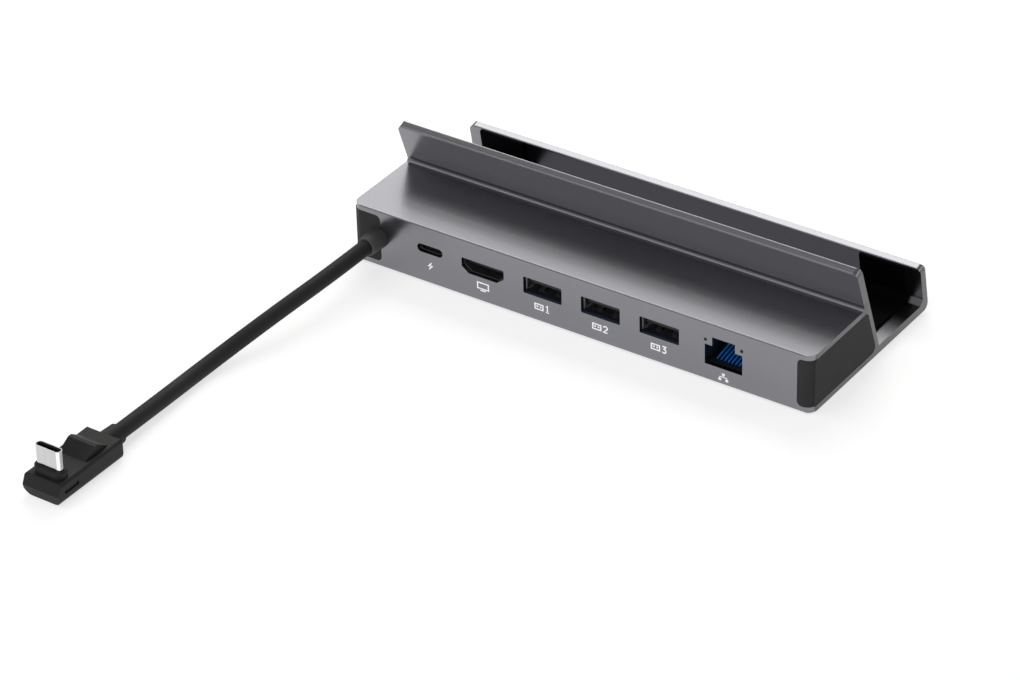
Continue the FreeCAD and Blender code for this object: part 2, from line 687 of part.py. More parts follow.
def plug_slot(width, thick, low, high):
    """A slot with round ends, standing on the plug round its metal tip."""
    corners = stadium(0, TIP_FROM_REAR, width, thick)
    wire = rounded_wire(corners, lambda u, v: on_plug(u, v, low))
    return Part.Face(wire).extrude(FreeCAD.Vector(0, 0, high - low))


def plug_hump():
    """The finger stop on top of the plug: a roof with a ridge across."""
    ridge_back = HUMP_RIDGE_FROM_REAR - HUMP_RIDGE_FLAT
    ridge_top = PLUG_HEIGHT + HUMP_RISE
    corners = [
        (HUMP_FOOT_FROM_REAR, PLUG_HEIGHT / 2, 0),
        (HUMP_FOOT_FROM_REAR, PLUG_HEIGHT, 0),
        (HUMP_RIDGE_FROM_REAR, ridge_top, 0),
        (ridge_back, ridge_top, 0),
        (HUMP_BACK_FROM_REAR, PLUG_HEIGHT, 0),
        (HUMP_BACK_FROM_REAR, PLUG_HEIGHT / 2, 0),
    ]
    wire = rounded_wire(corners, lambda u, v: on_plug(-HUMP_WIDTH / 2, u, v))
    return Part.Face(wire).extrude(FreeCAD.Vector(HUMP_WIDTH, 0, 0))


def plug_groove(side):
    """A round-ended finger groove in one side of the plug."""
    corners = stadium(GROOVE_FROM_REAR, GROOVE_Z, GROOVE_LENGTH, GROOVE_HEIGHT)
    inner = side * (PLUG_WIDTH / 2 - GROOVE_DEPTH)
    wire = rounded_wire(corners, lambda u, v: on_plug(inner, u, v))
    return Part.Face(wire).extrude(FreeCAD.Vector(side * 2 * GROOVE_DEPTH, 0, 0))


def turned(shape):
    """A shape of the plug, turned about the cable's end to the angle that the plug lies at."""
    shape.rotate(on_plug(0, -PLUG_SLEEVE_LENGTH, 0), FreeCAD.Vector(0, 0, 1), PLUG_YAW)
    return shape


def plug_body():
    """The plug's moulding: a bar with a wedge nose, the hump, the collar round the tip and the sleeve."""
    half = PLUG_WIDTH / 2
    end_corners = [
        (-half, 0, PLUG_BOTTOM_RADIUS),
        (half, 0, PLUG_BOTTOM_RADIUS),
        (half, PLUG_HEIGHT, PLUG_TOP_RADIUS),
        (-half, PLUG_HEIGHT, PLUG_TOP_RADIUS),
    ]
    wire = rounded_wire(end_corners, lambda u, v: on_plug(u, 0, v))
    bar = Part.Face(wire).extrude(FreeCAD.Vector(0, -PLUG_LENGTH, 0))
    side_corners = [
        (0, 0, 0),
        (PLUG_LENGTH - PLUG_NOSE_FOOT_SET_BACK, 0, 0),
        (PLUG_LENGTH, PLUG_AXIS_HEIGHT, 0),
        (PLUG_LENGTH - PLUG_NOSE_TOP_SET_BACK, PLUG_HEIGHT, EDGE_RADIUS),
        (0, PLUG_HEIGHT, EDGE_RADIUS),
    ]
    side = rounded_wire(side_corners, lambda u, v: on_plug(-half - OVERSHOOT, u, v))
    bar = bar.common(Part.Face(side).extrude(FreeCAD.Vector(PLUG_WIDTH + 2 * OVERSHOOT, 0, 0)))
    radii = (PLUG_SLEEVE_ROOT_RADIUS, PLUG_SLEEVE_END_RADIUS)
    root = on_plug(0, 0, PLUG_AXIS_HEIGHT)
    sleeve = Part.makeCone(*radii, PLUG_SLEEVE_LENGTH, root, FreeCAD.Vector(0, 1, 0))
    collar_top = PLUG_HEIGHT + COLLAR_HEIGHT
    collar = plug_slot(COLLAR_WIDTH, COLLAR_DEPTH, PLUG_HEIGHT - OVERSHOOT, collar_top)
    rim = [e for e in collar.Edges if min(v.Z for v in e.Vertexes) > collar_top - TOUCHING]
    collar = collar.makeChamfer(COLLAR_CHAMFER, rim)
    body = bar.fuse([sleeve, collar, plug_hump()])
    seat = plug_slot(TIP_WIDTH + CLEARANCE, TIP_THICK + CLEARANCE, PLUG_HEIGHT, collar_top + OVERSHOOT)
    return turned(body.cut([seat, plug_groove(-1), plug_groove(1)]).removeSplitter())


def plug_tip():
    """The plug's drawn steel shell and the plastic liner inside it."""
    low = PLUG_HEIGHT
    high = PLUG_HEIGHT + COLLAR_HEIGHT + TIP_LENGTH
    shell = plug_slot(TIP_WIDTH, TIP_THICK, low, high)
    bore = (TIP_WIDTH - 2 * TIP_WALL, TIP_THICK - 2 * TIP_WALL)
    shell = shell.cut(plug_slot(*bore, low - OVERSHOOT, high + OVERSHOOT))
    liner = plug_slot(*bore, low, high - TIP_WALL)
    liner = liner.cut(plug_slot(TIP_SLOT_WIDTH, TIP_SLOT_THICK, high - TIP_SLOT_DEPTH, high))
    return {"plug_shell": turned(shell), "plug_liner": turned(liner)}


def assembly():
    """Every piece of the dock by its name."""
    pieces = {
        "housing": housing(),
        "left_end_cap": end_cap(-1, LEFT_WINDOW),
        "right_end_cap": end_cap(1, RIGHT_WINDOW),
        "cradle_pad_left": cradle_pad(-1),
        "cradle_pad_right": cradle_pad(1),
        "front_foot_strip": foot_strip(FRONT_FOOT_Y),
        "rear_foot_strip": foot_strip(REAR_FOOT_Y),
        "main_board": main_board(),
        "cable_boot": cable_boot(),
        "cable_lead": cable_lead(),
        "cable": cable(),
        "plug_body": plug_body(),
    }
    for group in (power_socket, video_socket, data_sockets, network_jack, board_components, plug_tip):
        pieces.update(group())
    return pieces


os.makedirs("parts", exist_ok=True)
for name, shape in assembly().items():
    shape.exportStep(f"parts/{name}.step")
    print(f"{name}: {len(shape.Solids)} solids, {shape.Volume:.1f} mm3, valid {shape.isValid()}")
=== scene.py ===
import math

import bmesh
import bpy
from mathutils import Matrix, Vector


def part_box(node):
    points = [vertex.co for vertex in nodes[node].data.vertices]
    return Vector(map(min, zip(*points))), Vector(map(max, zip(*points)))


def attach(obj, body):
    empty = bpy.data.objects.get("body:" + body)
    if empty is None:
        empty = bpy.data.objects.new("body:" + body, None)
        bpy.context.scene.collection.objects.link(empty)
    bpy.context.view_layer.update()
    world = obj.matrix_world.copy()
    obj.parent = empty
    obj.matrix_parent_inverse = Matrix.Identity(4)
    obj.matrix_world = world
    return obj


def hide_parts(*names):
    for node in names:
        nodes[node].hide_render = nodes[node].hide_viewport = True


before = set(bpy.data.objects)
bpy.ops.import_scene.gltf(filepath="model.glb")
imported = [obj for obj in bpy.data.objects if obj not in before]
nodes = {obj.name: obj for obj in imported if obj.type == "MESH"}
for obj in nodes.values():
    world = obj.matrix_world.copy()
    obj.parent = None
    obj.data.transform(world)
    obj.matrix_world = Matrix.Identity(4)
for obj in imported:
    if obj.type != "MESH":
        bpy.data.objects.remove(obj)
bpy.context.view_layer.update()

# Housing: one aluminium extrusion that makes the port box, the leaning fin, the tray and the lip.
# It is sawn to length, milled for the sockets and the end caps, blasted with fine beads and
# anodised grey. The blasting leaves an even, very fine grain over faint lines from the die, and
# a rougher skin in the inner corner at the fin's foot.


class Term:
    """A socket of a finish. Sums, products, remainders and comparisons add the Math nodes for them."""

    def __init__(self, finish, socket):
        self.finish = finish
        self.socket = socket

    def math(self, operation, first, second):
        """Adds one Math node. Either value may be a term or a number."""
        return self.finish.add("ShaderNodeMath", {"operation": operation}, {0: first, 1: second})

    def __add__(self, other):
        return self.math("ADD", self, other)

    def __radd__(self, other):
        return self.math("ADD", other, self)

    def __sub__(self, other):
        return self.math("SUBTRACT", self, other)

    def __rsub__(self, other):
        return self.math("SUBTRACT", other, self)

    def __mul__(self, other):
        return self.math("MULTIPLY", self, other)

    def __rmul__(self, other):
        return self.math("MULTIPLY", other, self)

    def __gt__(self, other):
        return self.math("GREATER_THAN", self, other)

    def __lt__(self, other):
        return self.math("LESS_THAN", self, other)

    def __mod__(self, other):
        return self.math("FLOORED_MODULO", self, other)

    def __rmod__(self, other):
        return self.math("FLOORED_MODULO", other, self)

    def __abs__(self):
        return self.finish.add("ShaderNodeMath", {"operation": "ABSOLUTE"}, {0: self})


class Finish:
    """One material. Its nodes are added one by one and its shader's sockets are fed at the end."""

    def __init__(self, name):
        self.material = bpy.data.materials.new(name)
        self.material.use_nodes = True
        self.tree = self.material.node_tree
        self.shader = self.tree.nodes["Principled BSDF"]

    def add(self, kind, settings, sockets, result=0):
        """Adds any node, by its kind, its settings, what its sockets take and which output is wanted."""
        node = self.tree.nodes.new(kind)
        for name, value in settings.items():
            setattr(node, name, value)
        for key, value in sockets.items():
            self.feed(node.inputs[key], value)
        return Term(self, node.outputs[result])

    def feed(self, socket, value):
        """Links a term to a socket, or sets a plain value on it."""
        if isinstance(value, Term):
            self.tree.links.new(value.socket, socket)
        else:
            socket.default_value = value

    def spot(self):
        """Where a point is on its piece, in metres."""
        return self.add("ShaderNodeTexCoord", {}, {}, "Object")

    def part(self, vector, axis):
        """One part of a vector, X, Y or Z."""
        return self.add("ShaderNodeSeparateXYZ", {}, {0: vector}, axis)

    def facing(self, axis):
        """How far a face looks along an axis, from -1 to 1."""
        return self.part(self.add("ShaderNodeNewGeometry", {}, {}, "Normal"), axis)

    def noise(self, spot, scale, detail=2.0):
        """Cloudy noise from 0 to 1, with this many cells to the metre."""
        return self.add("ShaderNodeTexNoise", {}, {"Vector": spot, "Scale": scale, "Detail": detail})

    def blend(self, share, first, second):
        """A colour between two, by the second one's share."""
        settings = {"data_type": "RGBA"}
        return self.add("ShaderNodeMix", settings, {0: share, 6: first, 7: second}, 2)

    def bump(self, height, depth, strength=1.0):
        """A normal for a height from 0 to 1 that stands for a depth in metres."""
        sockets = {"Height": height, "Distance": depth, "Strength": strength}
        return self.add("ShaderNodeBump", {}, sockets)

    def surface(self, sockets):
        """Feeds the shader's sockets, by their names."""
        for name, value in sockets.items():
            self.feed(self.shader.inputs[name], value)


def wear(finish, *names):
    """Gives CAD nodes one finish."""
    for name in names:
        nodes[name].data.materials.clear()
        nodes[name].data.materials.append(finish.material)


FIN_FOOT_FRONT = 0.025
FIN_FOOT_BACK = 0.0285
FIN_FOOT_TOP = 0.0205

anodised = Finish("satin_anodised_grey")
where = anodised.spot()
beads = anodised.noise(where, 4200, 3)
drift = anodised.noise(where, 38)
along = anodised.add("ShaderNodeMapping", {}, {"Vector": where, "Scale": (14, 1500, 1500)})
die_lines = anodised.noise(along, 1.0, 3)
tone = 0.35 * beads + 0.3 * drift + 0.35 * die_lines
# Faces that look along X, the sawn ends, are rougher, and their grey is painted darker: painted shade on
# the ends.
sawn_and_shaded = abs(anodised.facing("X")) > 0.93
back = anodised.part(where, "Y")
height = anodised.part(where, "Z")
rise = anodised.facing("Z")
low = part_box("housing")[0]
near_foot = (back > low[1] + FIN_FOOT_FRONT) * (back < low[1] + FIN_FOOT_BACK)
inner_corner = near_foot * (height < low[2] + FIN_FOOT_TOP) * (rise > -0.3) * (rise < 0.985)
drawn_grey = anodised.blend(tone, (0.215, 0.215, 0.231, 1), (0.256, 0.256, 0.273, 1))
painted_shade_end_grey = anodised.blend(tone, (0.11, 0.11, 0.113, 1), (0.145, 0.145, 0.148, 1))
anodised.surface({
    "Base Color": anodised.blend(sawn_and_shaded, drawn_grey, painted_shade_end_grey),
    "Metallic": 1.0,
    "Roughness": 0.205 + 0.05 * beads + 0.04 * die_lines + 0.1 * sawn_and_shaded + 0.09 * inner_corner,
    "Normal": anodised.bump(beads + 0.4 * die_lines, 0.000004, 0.3),
})
wear(anodised, "housing")

# End caps: two black mouldings, pushed into the ends of the housing with a spigot and glue.
# The tool is spark eroded, so their skin has a fine, even, matte texture.

cap_skin = Finish("fine_matte_black")
where = cap_skin.spot()
spark = cap_skin.noise(where, 3400, 4)
cloud = cap_skin.noise(where, 120)
cap_skin.surface({
    "Base Color": cap_skin.blend(cloud, (0.022, 0.022, 0.022, 1), (0.03, 0.03, 0.03, 1)),
    "Specular IOR Level": 0.1,
    "Roughness": 0.5 + 0.16 * spark,
    "Normal": cap_skin.bump(spark, 0.00003, 0.6),
})
wear(cap_skin, "left_end_cap", "right_end_cap")

# Cradle pads: two U-shaped pieces of black silicone, stuck in the cradle near its ends.
# They are moulded smooth, and their skin keeps a little dust and a soft sheen.

silicone = Finish("black_silicone")
where = silicone.spot()
dust = silicone.noise(where, 260, 5)
silicone.surface({
    "Base Color": silicone.blend(dust, (0.0004, 0.0004, 0.0005, 1), (0.0014, 0.0014, 0.0015, 1)),
    "Specular IOR Level": 0.05,
    "Roughness": 0.68 + 0.2 * dust,
    "Normal": silicone.bump(silicone.noise(where, 2600, 3), 0.00002, 0.4),
})
wear(silicone, "cradle_pad_left", "cradle_pad_right")

# Foot strips: two strips of black rubber under the base, let into shallow grooves and glued.
# Fine ribs run across them, so that the dock doesn't slide when a console is lifted out.

grip = Finish("ribbed_foot_rubber")
where = grip.spot()
across = grip.add("ShaderNodeTexWave", {"bands_direction": "X"}, {"Vector": where, "Scale": 420.0})
scuffs = grip.noise(where, 300, 5)
grip.surface({
    "Base Color": grip.blend(scuffs, (0.014, 0.014, 0.014, 1), (0.03, 0.03, 0.03, 1)),
    "Roughness": 0.7 + 0.2 * scuffs,
    "Normal": grip.bump(across + 0.3 * scuffs, 0.0001, 0.5),
})
wear(grip, "front_foot_strip", "rear_foot_strip")

# Main board: a green glass fibre board on two rails inside the box, with copper tracks under
# its lacquer. It shows only through the sockets.

lacquer = Finish("green_lacquered_board")
where = lacquer.spot()
layout = {"Vector": where, "Scale": 900.0, "Mortar Size": 0.03}
tracks = lacquer.add("ShaderNodeTexBrick", {"offset": 0.5}, layout, 1)
fibre = lacquer.noise(where, 1500)
lacquer.surface({
    "Base Color": lacquer.blend(tracks, (0.012, 0.1, 0.045, 1), (0.03, 0.19, 0.08, 1)),
    "Roughness": 0.32 + 0.12 * fibre,
    "Normal": lacquer.bump(tracks + 0.2 * fibre, 0.00003, 0.6),
})
wear(lacquer, "main_board")

# Chips, transformer and inductor: black resin bodies, moulded round what they hold and soldered
# to the board.

resin = Finish("moulded_chip_resin")
where = resin.spot()
filler = resin.noise(where, 2800, 4)
resin.surface({
    "Base Color": resin.blend(filler, (0.014, 0.014, 0.015, 1), (0.032, 0.032, 0.034, 1)),
    "Roughness": 0.48 + 0.2 * filler,
    "Normal": resin.bump(filler, 0.00002, 0.5),
})
wear(resin, "hub_chip", "video_chip", "power_chip", "network_chip", "network_transformer", "power_inductor")

# Crystal and capacitors: cans drawn from thin sheet, bright and bare, with faint lines from the
# die. They are soldered to the board.

can = Finish("drawn_can")
where = can.spot()
drawn = can.add("ShaderNodeMapping", {}, {"Vector": where, "Scale": (2200, 2200, 60)})
streaks = can.noise(drawn, 1.0, 3)
can.surface({
    "Base Color": can.blend(streaks, (0.5, 0.5, 0.5, 1), (0.66, 0.66, 0.66, 1)),
    "Metallic": 1.0,
    "Roughness": 0.22 + 0.16 * streaks,
})
wear(can, "hub_crystal", "power_capacitors")

# Socket shells: folded from plated steel sheet, open at the port wall and soldered to the board.
# The sheet has faint rolling lines.

plated = Finish("plated_socket_sheet")
where = plated.spot()
rolled = plated.add("ShaderNodeMapping", {}, {"Vector": where, "Scale": (1800, 70, 1800)})
rolling = plated.noise(rolled, 1.0, 3)
plated.surface({
    "Base Color": plated.blend(rolling, (0.42, 0.42, 0.43, 1), (0.55, 0.55, 0.56, 1)),
    "Metallic": 1.0,
    "Roughness": 0.3 + 0.14 * rolling,
})
wear(
    plated, "power_socket_shell", "video_socket_shell",
    "data_socket_1_shell", "data_socket_2_shell", "data_socket_3_shell",
)

# Socket cores: black mouldings that carry the contacts on a tongue. The contacts are strips of
# tinned spring sheet, let flush into the tongue along its length.


def core_finish(name, middle, pitch, count, share):
    """Black plastic with a row of tinned strips across the tongue, by the row's middle and pitch."""
    core = Finish(name)
    where = core.spot()
    level = abs(core.facing("Z")) > 0.5
    start = middle - count / 2 * pitch
    steps = (core.part(where, "X") - start) * (1 / pitch)
    inside = (steps > 0.0) * (steps < float(count))
    strip = ((steps % 1.0) > (0.5 - share / 2)) * ((steps % 1.0) < (0.5 + share / 2))
    tinned = strip * inside * level
    mottle = core.noise(where, 2400, 3)
    core.surface({
        "Base Color": core.blend(tinned, (0.012, 0.012, 0.013, 1), (0.55, 0.55, 0.58, 1)),
        "Metallic": tinned,
        "Roughness": 0.5 + 0.15 * mottle - 0.25 * tinned,
        "Normal": core.bump(mottle, 0.00002, 0.4),
    })
    return core


for name, pitch, count, share in (
    ("power_socket", 0.0005, 12, 0.5),
    ("video_socket", 0.001, 10, 0.45),
    ("data_socket_1", 0.0022, 4, 0.45),
    ("data_socket_2", 0.0022, 4, 0.45),
    ("data_socket_3", 0.0022, 4, 0.45),
):
    low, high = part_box(f"{name}_core")
    wear(core_finish(f"{name}_contacts", (low[0] + high[0]) / 2, pitch, count, share), f"{name}_core")
wear(resin, "power_socket_riser")

# Data socket springs: leaves pressed out of each shell's floor and side walls, which hold a plug
# and earth its shield. Each leaf stands in the window that it was cut from, drawn as a near-black
# plate on the wall: painted shade for the dark seen through the cut.

LEAF_WIDTH = 0.0017
LEAF_THICK = 0.00018
LEAF_LENGTH = 0.0052
LEAF_RISE = 0.00055
LEAF_STEPS = 12
LEAF_LAG = 1.4
LEAF_TAPER = 0.25
FLOOR_LEAF_ASIDE = 0.0026
FLOOR_LEAF_BACK = 0.0019
WALL_LEAF_BACK = 0.0022
WALL_LEAF_DROP = 0.0004
WINDOW_MARGIN = 0.0003
WINDOW_PROUD = 0.00002


def piece(name, shape, finish):
    """A finished mesh as a piece of the dock, with this finish's material."""
    mesh = bpy.data.meshes.new(name)
    shape.to_mesh(mesh)
    shape.free()
    mesh.materials.append(finish.material)
    made = bpy.data.objects.new(name, mesh)
    bpy.context.scene.collection.objects.link(made)
    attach(made, "root")
    return made


def loft(shape, rings, hoop=False):
    """Joins rings of as many points each into one skin, capped at both ends or closed as a hoop."""
    rows = [[shape.verts.new(point) for point in ring] for ring in rings]
    count = len(rings[0])
    for row, after in zip(rows, rows[1:] + rows[:1] if hoop else rows[1:]):
        for i in range(count):
            shape.faces.new((row[i], row[(i + 1) % count], after[(i + 1) % count], after[i]))
    if not hoop:
        shape.faces.new(reversed(rows[0]))
        shape.faces.new(rows[-1])


def leaf(shape, start, across, up):
    """A bowed leaf from a point on a shell's wall, running back along the socket."""
    back = Vector((0, 1, 0))
    rings = []
    for step in range(LEAF_STEPS + 1):
        share = step / LEAF_STEPS
        rise = LEAF_RISE * math.sin(math.pi * share ** LEAF_LAG) + WINDOW_PROUD
        foot = start + back * (LEAF_LENGTH * share) + up * rise
        half = across * (LEAF_WIDTH / 2 * (1 - LEAF_TAPER * share))
        top = up * LEAF_THICK
        rings.append([foot - half, foot + half, foot + half + top, foot - half + top])
    loft(shape, rings)


def window(shape, start, across, up):
    """The painted shade of the window round a leaf: a near-black plate with cut corners on the wall."""
    half = LEAF_WIDTH / 2 + WINDOW_MARGIN
    cut = WINDOW_MARGIN
    long = LEAF_LENGTH + 2 * WINDOW_MARGIN
    outline = [
        (-half + cut, 0), (half - cut, 0), (half, cut), (half, long - cut),
        (half - cut, long), (-half + cut, long), (-half, long - cut), (-half, cut),
    ]
    base = start - Vector((0, WINDOW_MARGIN, 0))
    rings = []
    for proud in (-WINDOW_PROUD, WINDOW_PROUD):
        rings.append([base + across * u + Vector((0, v, 0)) + up * proud for u, v in outline])
    loft(shape, rings)


spring_steel = Finish("bright_spring_steel")
where = spring_steel.spot()
bent = spring_steel.add("ShaderNodeMapping", {}, {"Vector": where, "Scale": (1900, 80, 1900)})
grain = spring_steel.noise(bent, 1.0, 3)
spring_steel.surface({
    "Base Color": spring_steel.blend(grain, (0.6, 0.6, 0.61, 1), (0.75, 0.75, 0.76, 1)),
    "Metallic": 1.0,
    "Roughness": 0.26 + 0.12 * grain,
})
# Painted shade: a near-black plate stands for the dark seen through each spring's window.
window_shade_finish = Finish("painted_shade_spring_window")
where = window_shade_finish.spot()
shade_mottle = window_shade_finish.noise(where, 1200, 3)
window_shade_finish.surface({
    "Base Color": window_shade_finish.blend(shade_mottle, (0.002, 0.002, 0.002, 1), (0.006, 0.006, 0.006, 1)),
    "Specular IOR Level": 0.1,
    "Roughness": 0.8 + 0.1 * shade_mottle,
})
SHEET = Vector((0.0003, 0.0003, 0.0003))
for number in (1, 2, 3):
    low, high = (Vector(corner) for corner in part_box(f"data_socket_{number}_shell"))
    inner_low = low + SHEET
    inner_high = high - SHEET
    middle = (low.x + high.x) / 2
    floor_y = low.y + FLOOR_LEAF_BACK
    wall_y = low.y + WALL_LEAF_BACK
    wall_z = (inner_low.z + inner_high.z) / 2 - WALL_LEAF_DROP
    seats = [
        (Vector((middle - FLOOR_LEAF_ASIDE, floor_y, inner_low.z)), Vector((1, 0, 0)), Vector((0, 0, 1))),
        (Vector((middle + FLOOR_LEAF_ASIDE, floor_y, inner_low.z)), Vector((1, 0, 0)), Vector((0, 0, 1))),
        (Vector((inner_low.x, wall_y, wall_z)), Vector((0, 0, -1)), Vector((1, 0, 0))),
        (Vector((inner_high.x, wall_y, wall_z)), Vector((0, 0, 1)), Vector((-1, 0, 0))),
    ]
    leaves = bmesh.new()
    window_shades = bmesh.new()
    for start, across, up in seats:
        leaf(leaves, start, across, up)
        window(window_shades, start, across, up)
    piece(f"data_socket_{number}_springs", leaves, spring_steel)
    piece(f"data_socket_{number}_windows", window_shades, window_shade_finish)

# Socket rims: each shell's mouth is folded in a little all round, just behind the port wall.
# It is the shell's own plated sheet in two copies of its finish, set apart by colour: the power
# and video rims are darker, painted shade, and the data sockets' rims and folds are a duller,
# partly diffuse grey that shows as a pale line, a painted highlight. The data sockets' lower
# corners show the folds that run back along the shell.

RIM_WIDTH = 0.00014
RIM_DEPTH = 0.0005
FOLD_WIDTH = 0.0003
FOLD_LENGTH = 0.0045
VIDEO_FLOOR_HALF = 0.00465
VIDEO_SIDE = 0.00275
ROUND_STEPS = 8


def rim(shape, outline, front):
    """A band inside a mouth, by the mouth's outline (x, z) and the place of its front in y."""
    across = [x for x, z in outline]
    upright = [z for x, z in outline]
    middle = Vector(((min(across) + max(across)) / 2, (min(upright) + max(upright)) / 2))
    narrow = 1 - 2 * RIM_WIDTH / (max(across) - min(across))
    low = 1 - 2 * RIM_WIDTH / (max(upright) - min(upright))
    rings = []
    corners = ((0.0, 1, 1), (0.0, narrow, low), (RIM_DEPTH, narrow, low), (RIM_DEPTH, 1, 1))
    for depth, wide, tall in corners:
        ring = []
        for x, z in outline:
            right = middle.x + (x - middle.x) * wide
            up = middle.y + (z - middle.y) * tall
            ring.append(Vector((right, front + depth, up)))
        rings.append(ring)
    loft(shape, rings, hoop=True)


def corner_fold(shape, corner, inward):
    """The fold along a lower corner of a shell, by its front end and which way in x is inward."""
    rings = []
    for y in (RIM_DEPTH, FOLD_LENGTH):
        ring = []
        for right, up in ((0, 0), (FOLD_WIDTH, 0), (FOLD_WIDTH / 3, FOLD_WIDTH / 3), (0, FOLD_WIDTH)):
            ring.append(corner + Vector((right * inward, y, up)))
        rings.append(ring)
    loft(shape, rings)


def fold_finish(name, dark, light, metal):
    """A fold of plated sheet in a tone of its own, painted darker or lighter than the sheet, by its two
    greys and its metallic share.
    """
    fold = Finish(name)
    fold_mottle = fold.noise(fold.spot(), 1400, 3)
    fold.surface({
        "Base Color": fold.blend(fold_mottle, (dark, dark, dark, 1), (light, light, light, 1)),
        "Metallic": metal,
        "Roughness": 0.36 + 0.14 * fold_mottle,
    })
    return fold


# Painted shade on the power and video rims; painted highlight on the data rims and folds, a partly diffuse
# grey that shows as a pale line.
painted_shade_fold = fold_finish("painted_shade_fold", 0.16, 0.22, 1.0)
painted_highlight_fold = fold_finish("painted_highlight_fold", 0.3, 0.4, 0.5)
for name in ("power_socket", "video_socket", "data_socket_1", "data_socket_2", "data_socket_3"):
    low, high = (Vector(corner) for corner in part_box(f"{name}_shell"))
    left, right = low.x + SHEET.x, high.x - SHEET.x
    sill, roof = low.z + SHEET.z, high.z - SHEET.z
    if name == "power_socket":
        radius = (roof - sill) / 2
        mouth = []
        for x, start in ((right - radius, -90), (left + radius, 90)):
            for step in range(ROUND_STEPS + 1):
                angle = math.radians(start + 180 * step / ROUND_STEPS)
                mouth.append((x + radius * math.cos(angle), sill + radius + radius * math.sin(angle)))
    elif name == "video_socket":
        middle = (left + right) / 2
        shoulder = roof - VIDEO_SIDE
        mouth = [
            (middle - VIDEO_FLOOR_HALF, sill), (middle + VIDEO_FLOOR_HALF, sill), (right, shoulder),
            (right, roof), (left, roof), (left, shoulder),
        ]
    else:
        mouth = [(left, sill), (right, sill), (right, roof), (left, roof)]
    shape = bmesh.new()
    rim(shape, mouth, low.y + WINDOW_PROUD)
    if name.startswith("data"):
        corner_fold(shape, Vector((left, low.y, sill)), 1)
        corner_fold(shape, Vector((right, low.y, sill)), -1)
    bmesh.ops.recalc_face_normals(shape, faces=shape.faces)
    piece(f"{name}_rim", shape, painted_highlight_fold if name.startswith("data") else painted_shade_fold)

# Data socket sills: a dark blue moulding on each socket's floor, from the port wall's cut-out to
# just behind the rim. It marks the fast sockets, has a bevelled front and is clipped to the shell.

SILL_PROFILE = (
    (-0.0012, 0.0), (-0.0012, 0.0001), (-0.0008, 0.00022),
    (0.0007, 0.00022), (0.0009, 0.0001), (0.0009, 0.0),
)

blue_sill = Finish("dark_blue_sill")
where = blue_sill.spot()
mottle = blue_sill.noise(where, 1800, 3)
blue_sill.surface({
    "Base Color": blue_sill.blend(mottle, (0.006, 0.009, 0.022, 1), (0.011, 0.016, 0.034, 1)),
    "Roughness": 0.42 + 0.15 * mottle,
    "Normal": blue_sill.bump(mottle, 0.00002, 0.4),
})
for number in (1, 2, 3):
    low, high = (Vector(corner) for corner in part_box(f"data_socket_{number}_shell"))
    floor_z = low.z + SHEET.z
    shape = bmesh.new()
    rings = []
    for x in (low.x + SHEET.x, high.x - SHEET.x):
        rings.append([Vector((x, low.y + back, floor_z + up)) for back, up in SILL_PROFILE])
    loft(shape, rings)
    piece(f"data_socket_{number}_sill", shape, blue_sill)

# Network jack: a black moulding sunk through the board, with eight blue spring wires that rise
# from its floor to its back wall, and two clear pins that bring its lights to the port face.

jack = Finish("moulded_jack")
where = jack.spot()
flow = jack.noise(where, 900, 4)
jack.surface({
    "Base Color": jack.blend(flow, (0.008, 0.009, 0.012, 1), (0.016, 0.018, 0.024, 1)),
    "Roughness": 0.38 + 0.15 * flow,
    "Normal": jack.bump(flow, 0.00002, 0.4),
})
wear(jack, "network_jack_housing")

wires = Finish("blue_spring_wire")
where = wires.spot()
pulled = wires.add("ShaderNodeMapping", {}, {"Vector": where, "Scale": (2600, 90, 2600)})
sheen = wires.noise(pulled, 1.0, 2)
wires.surface({
    "Base Color": wires.blend(sheen, (0.003, 0.2, 0.85, 1), (0.01, 0.32, 1.0, 1)),
    "Roughness": 0.3 + 0.12 * sheen,
})

WIRE_COUNT = 8
WIRE_WIDTH = 0.0006
WIRE_SWELL = 0.95
WIRE_HALF_THICK = 0.0002
WIRE_STEPS = 16
WIRE_BOW = 0.00025
WIRE_TIP = 0.45
WIRE_TAPER = 6
WIRE_SIDES = 8
low, high = (Vector(corner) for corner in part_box("network_jack_contacts"))
pitch = (high.x - low.x - WIRE_WIDTH) / (WIRE_COUNT - 1)
shape = bmesh.new()
for number in range(WIRE_COUNT):
    x = low.x + WIRE_WIDTH / 2 + number * pitch
    rings = []
    for step in range(WIRE_STEPS + 1):
        share = step / WIRE_STEPS
        swell = min(1.0, WIRE_TIP + WIRE_TAPER * share)
        y = low.y + (high.y - low.y) * share
        z = low.z + WIRE_HALF_THICK + (high.z - low.z - 2 * WIRE_HALF_THICK) * share
        z += WIRE_BOW * math.sin(math.pi * share)
        ring = []
        for turn in range(WIRE_SIDES):
            angle = math.tau * (turn + 0.5) / WIRE_SIDES
            across = WIRE_WIDTH / 2 * WIRE_SWELL * swell * math.cos(angle)
            ring.append(Vector((x + across, y, z + WIRE_HALF_THICK * swell * math.sin(angle))))
        rings.append(ring)
    loft(shape, rings)
bmesh.ops.recalc_face_normals(shape, faces=shape.faces)
spring_wires = piece("network_jack_wires", shape, wires)
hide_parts("network_jack_contacts")

pin = Finish("clear_light_pin")
where = pin.spot()
haze = pin.noise(where, 2400, 3)
pin.surface({
    "Base Color": pin.blend(haze, (0.002, 0.002, 0.002, 1), (0.008, 0.009, 0.008, 1)),
    "Specular IOR Level": 0.2,
    "Roughness": 0.2 + 0.2 * haze,
})
wear(pin, "link_light_left", "link_light_right")

# Cable: a round lead in a matte black jacket, straight out of its strain relief, then down to
# the table and along it to the plug. The boot is a softer, greyer rubber, moulded over the lead,
# with painted shade that darkens it towards its root at the port face.

